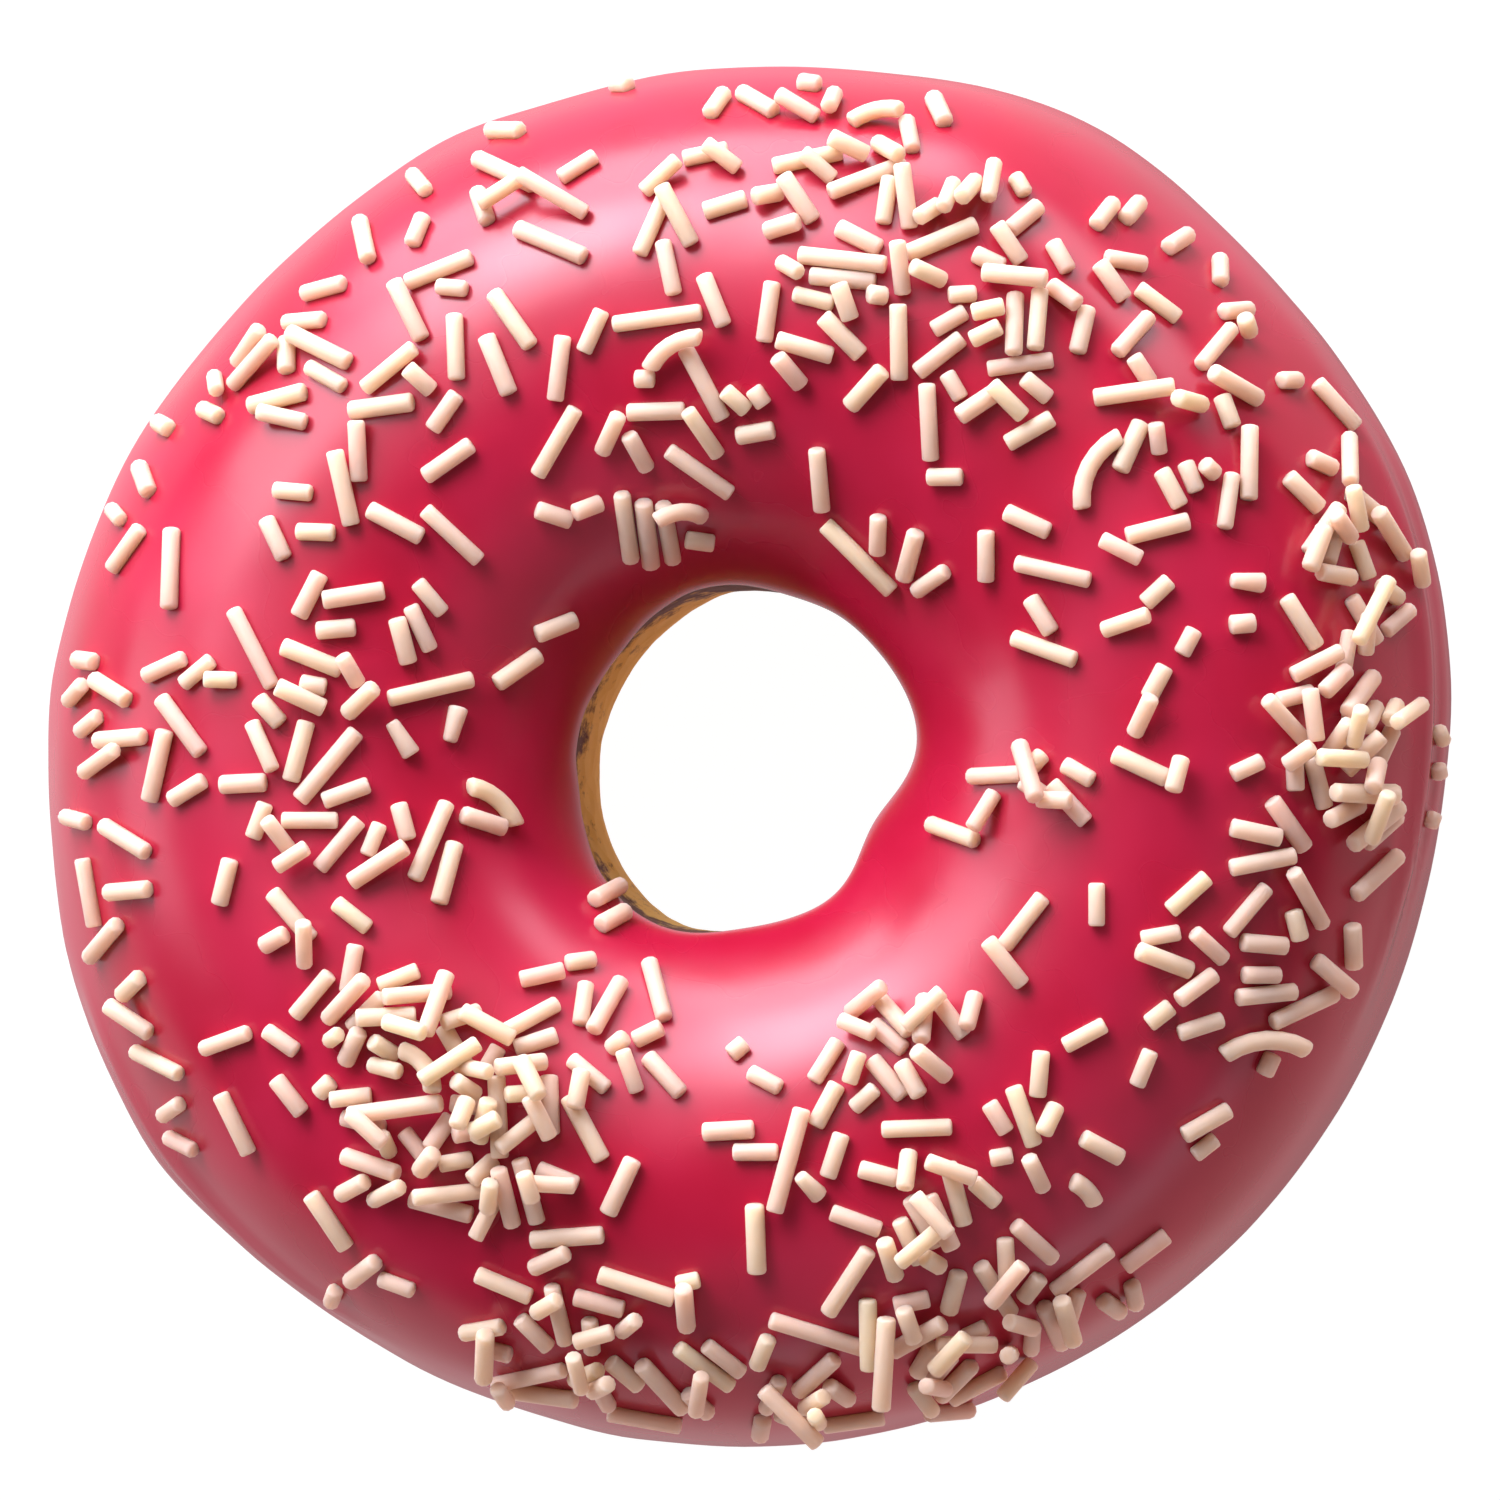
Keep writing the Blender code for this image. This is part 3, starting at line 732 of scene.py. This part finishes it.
def layStrand(x, y, heading, length, lowest, lying, surface):
    # drops one from the camera's side and lets it come to rest on the frosting and its neighbours
    aim = ringMiddle + (viewRight * x + viewUp * y) * millimetre
    fall = (aim - cameraPlace).normalized()
    point, normal = surface.ray_cast(cameraPlace, fall)[:2]
    if point is None or point.z < lowest:
        return None
    turn = math.radians(heading)
    flat = viewRight * math.cos(turn) + viewUp * math.sin(turn)
    along = flat - fall * flat.dot(normal) / fall.dot(normal)
    length = length * millimetre * min(along.length, strands["stretch"])
    along.normalize()
    half = length / 2 - strands["endShare"] * strands["thickness"] / 2
    line = restingLine(heightsToClear(point, normal, along, half, lying, surface))
    if line is None or abs(line[1]) > strands["steepest"] or line[0] > strands["highest"]:
        return None
    level, slope = line
    lean = (along + normal * slope).normalized()
    middle = point + normal * level
    lying.append((middle - lean * half, middle + lean * half))
    return middle, lean, normal, length, level


def copyStrand(models, kind, middle, lean, normal, length, level):
    model, modelLength = min(models[kind], key=lambda pair: abs(pair[1] - length))
    twin = bpy.data.objects.new("strand", model.data.copy())
    bpy.context.collection.objects.link(twin)
    right = lean.cross(normal).normalized()
    if kind == "straight":                # rolled about its own length
        right = (Matrix.Rotation(random.uniform(0, math.tau), 3, lean) @ right).normalized()
    size = random.uniform(*strands["sizes"])
    third = lean.cross(right)
    pose = Matrix((right * size, third * size, lean * (length / modelLength))).transposed().to_4x4()
    pose.translation = middle
    twin.data.transform(pose)
    # random tone, plus painted light that makes one paler the higher it lies in a pile
    toneAndPileLight = random.gauss(*strands["tint"]) + strands["paintedPileLight"] * level / strands["highest"]
    toneAndPileLight = min(max(toneAndPileLight, 0.0), 1.0)
    tint = twin.data.attributes.new("tint", "FLOAT", "POINT")
    tint.data.foreach_set("value", [toneAndPileLight] * len(twin.data.vertices))
    return twin


def joinStrands(twins, name, material):
    deselectAll()
    for twin in twins:
        twin.select_set(True)
    bpy.context.view_layer.objects.active = twins[0]
    bpy.ops.object.join()
    joined = bpy.context.object
    joined.name = name
    joined.data.name = name
    giveMaterial(joined, material)
    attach(joined, "root")


def makeStrands():
    random.seed(strands["seed"])
    surface = BVHTree.FromPolygons([vertex.co.copy() for vertex in frostingPiece.data.vertices],
                                   [tuple(face.vertices) for face in frostingPiece.data.polygons])
    models = {}
    for kind, sizes in strandModels.items():
        models[kind] = [(modelStrand(length * millimetre, bend, thinner), length * millimetre)
                        for length, bend, thinner in sizes]
    rim = waistHeight + strands["lowestLaid"]
    insideRim = waistHeight + strands["lowestPiled"]
    wanted = [("straight", *row, rim) for rows in laidStraight.values() for row in rows]
    wanted += [("bent", *row, rim) for row in laidBent]
    wanted += [("wedge", *row, rim) for row in laidWedges]
    for x, y, spread, count in piles:
        for one in range(count):
            wanted.append(("straight", random.gauss(x, spread), random.gauss(y, spread),
                           random.uniform(0, 180), random.choice(pileLengths), insideRim))
    lying = []
    twins = {"straight": [], "bent": [], "wedge": []}
    for kind, x, y, heading, length, lowest in wanted:
        rest = layStrand(x, y, heading, length, lowest, lying, surface)
        if rest:
            twins[kind].append(copyStrand(models, kind, *rest))
    for pairs in models.values():
        for model, length in pairs:
            bpy.data.objects.remove(model)
    material = strandMaterial()
    joinStrands(twins["straight"], "straightStrands", material)
    joinStrands(twins["bent"], "bentStrands", material)
    joinStrands(twins["wedge"], "strandWedges", material)
    print("strands laid:", len(lying), "left out:", len(wanted) - len(lying))


makeStrands()


table = {
    "size": 5.0,
    "colour": (0.06, 0.06, 0.06),
    "glow": 0.99,                         # keeps it white in the ring's own shadow
    "roughness": 0.9,
    "specular": 0.2,
}

# Each has its direction from +X towards +Y and its height in degrees, then its width and height
# in metres and its watts.
lamps = {
    "softbox": (121.0, 40.0, 0.95, 0.56, 10.0),
    "window": (118.0, 38.0, 0.36, 0.30, 3.6),
    "topPanel": (116.0, 63.0, 1.00, 0.50, 1.5),
    "backPanel": (108.0, 11.0, 1.00, 0.36, 9.0),
    "leftPanel": (176.0, 20.0, 0.46, 0.42, 1.7),
    "sidePanel": (58.0, 20.0, 0.50, 0.34, 2.4),
    "frontFill": (300.0, 35.0, 1.40, 1.10, 1.2),
    "lowFront": (290.0, 8.0, 1.30, 0.20, 1.1),
}
lampDistance = 0.9
lampColour = (1.0, 0.95, 1.06)

# What comes back from the table round the ring: bright on the lit side, dim and rosy on the other.
room = {
    "above": (0.09, 0.085, 0.085),
    "litSide": (1.0, 0.95, 1.0),
    "shadowSide": (0.95, 0.55, 0.53),
    "litFrom": math.radians(124.0),
    "horizon": (0.48, 0.52),              # from below to above, of 0 at the bottom and 1 at the top
    "underRing": (-0.98, -0.89),          # upward part of a direction, from inside to outside its shadow
    "straightDown": 0.45,                 # share of the light left in that shadow
}


def addLamp(name):
    direction, height, wide, tall, watts = lamps[name]
    data = bpy.data.lights.new(name, "AREA")
    data.shape = "RECTANGLE"
    data.size = wide
    data.size_y = tall
    data.energy = watts
    data.color = lampColour
    item = bpy.data.objects.new(name, data)
    bpy.context.collection.objects.link(item)
    turn, rise = math.radians(direction), math.radians(height)
    away = Vector((math.cos(turn) * math.cos(rise), math.sin(turn) * math.cos(rise), math.sin(rise)))
    item.location = ringMiddle + away * lampDistance
    item.rotation_euler = (-away).to_track_quat("-Z", "Y").to_euler()


def makeTable():
    deselectAll()
    bpy.ops.mesh.primitive_plane_add(size=table["size"], location=(0, 0, 0))
    top = bpy.context.object
    top.name = "table"
    material, _, _, shader = newMaterial("paleTable")
    shader.inputs["Base Color"].default_value = (*table["colour"], 1.0)
    shader.inputs["Roughness"].default_value = table["roughness"]
    shader.inputs["Specular IOR Level"].default_value = table["specular"]
    shader.inputs["Emission Color"].default_value = (1.0, 1.0, 1.0, 1.0)
    shader.inputs["Emission Strength"].default_value = table["glow"]
    material.cycles.emission_sampling = "NONE"
    giveMaterial(top, material)
    top.visible_diffuse = False           # the ring is lit from below by the room instead
    top.visible_glossy = False


def makeLight():
    for name in lamps:
        addLamp(name)
    world = bpy.data.worlds.new("studio")
    bpy.context.scene.world = world
    world.use_nodes = True
    nodes, links = world.node_tree.nodes, world.node_tree.links
    direction = addNode(nodes, "ShaderNodeTexCoord")
    parts = addNode(nodes, "ShaderNodeSeparateXYZ")
    links.new(direction.outputs["Generated"], parts.inputs["Vector"])
    height = addRange(nodes, -1.0, 1.0, 0.0, 1.0)
    links.new(parts.outputs["Z"], height.inputs["Value"])
    towards = addNode(nodes, "ShaderNodeVectorMath", operation="DOT_PRODUCT")
    towards.inputs[1].default_value = (math.cos(room["litFrom"]), math.sin(room["litFrom"]), 0.0)
    links.new(direction.outputs["Generated"], towards.inputs[0])
    side = addRange(nodes, -1.0, 1.0, 0.0, 1.0)
    links.new(towards.outputs["Value"], side.inputs["Value"])
    below = addRamp(nodes, [(0.0, room["shadowSide"]), (1.0, room["litSide"])])
    links.new(side.outputs["Result"], below.inputs["Fac"])
    horizon = addRange(nodes, *room["horizon"], 0.0, 1.0)
    links.new(height.outputs["Result"], horizon.inputs["Value"])
    sky = addNode(nodes, "ShaderNodeMix", data_type="RGBA")
    links.new(horizon.outputs["Result"], sky.inputs["Factor"])
    links.new(below.outputs["Color"], sky.inputs["A"])
    sky.inputs["B"].default_value = (*room["above"], 1.0)
    links.new(sky.outputs["Result"], nodes["Background"].inputs["Color"])
    underRing = addRange(nodes, *room["underRing"], room["straightDown"], 1.0)
    links.new(parts.outputs["Z"], underRing.inputs["Value"])
    links.new(underRing.outputs["Result"], nodes["Background"].inputs["Strength"])
    bpy.context.scene.view_settings.view_transform = "Standard"


makeTable()
makeLight()
print("table and light made")
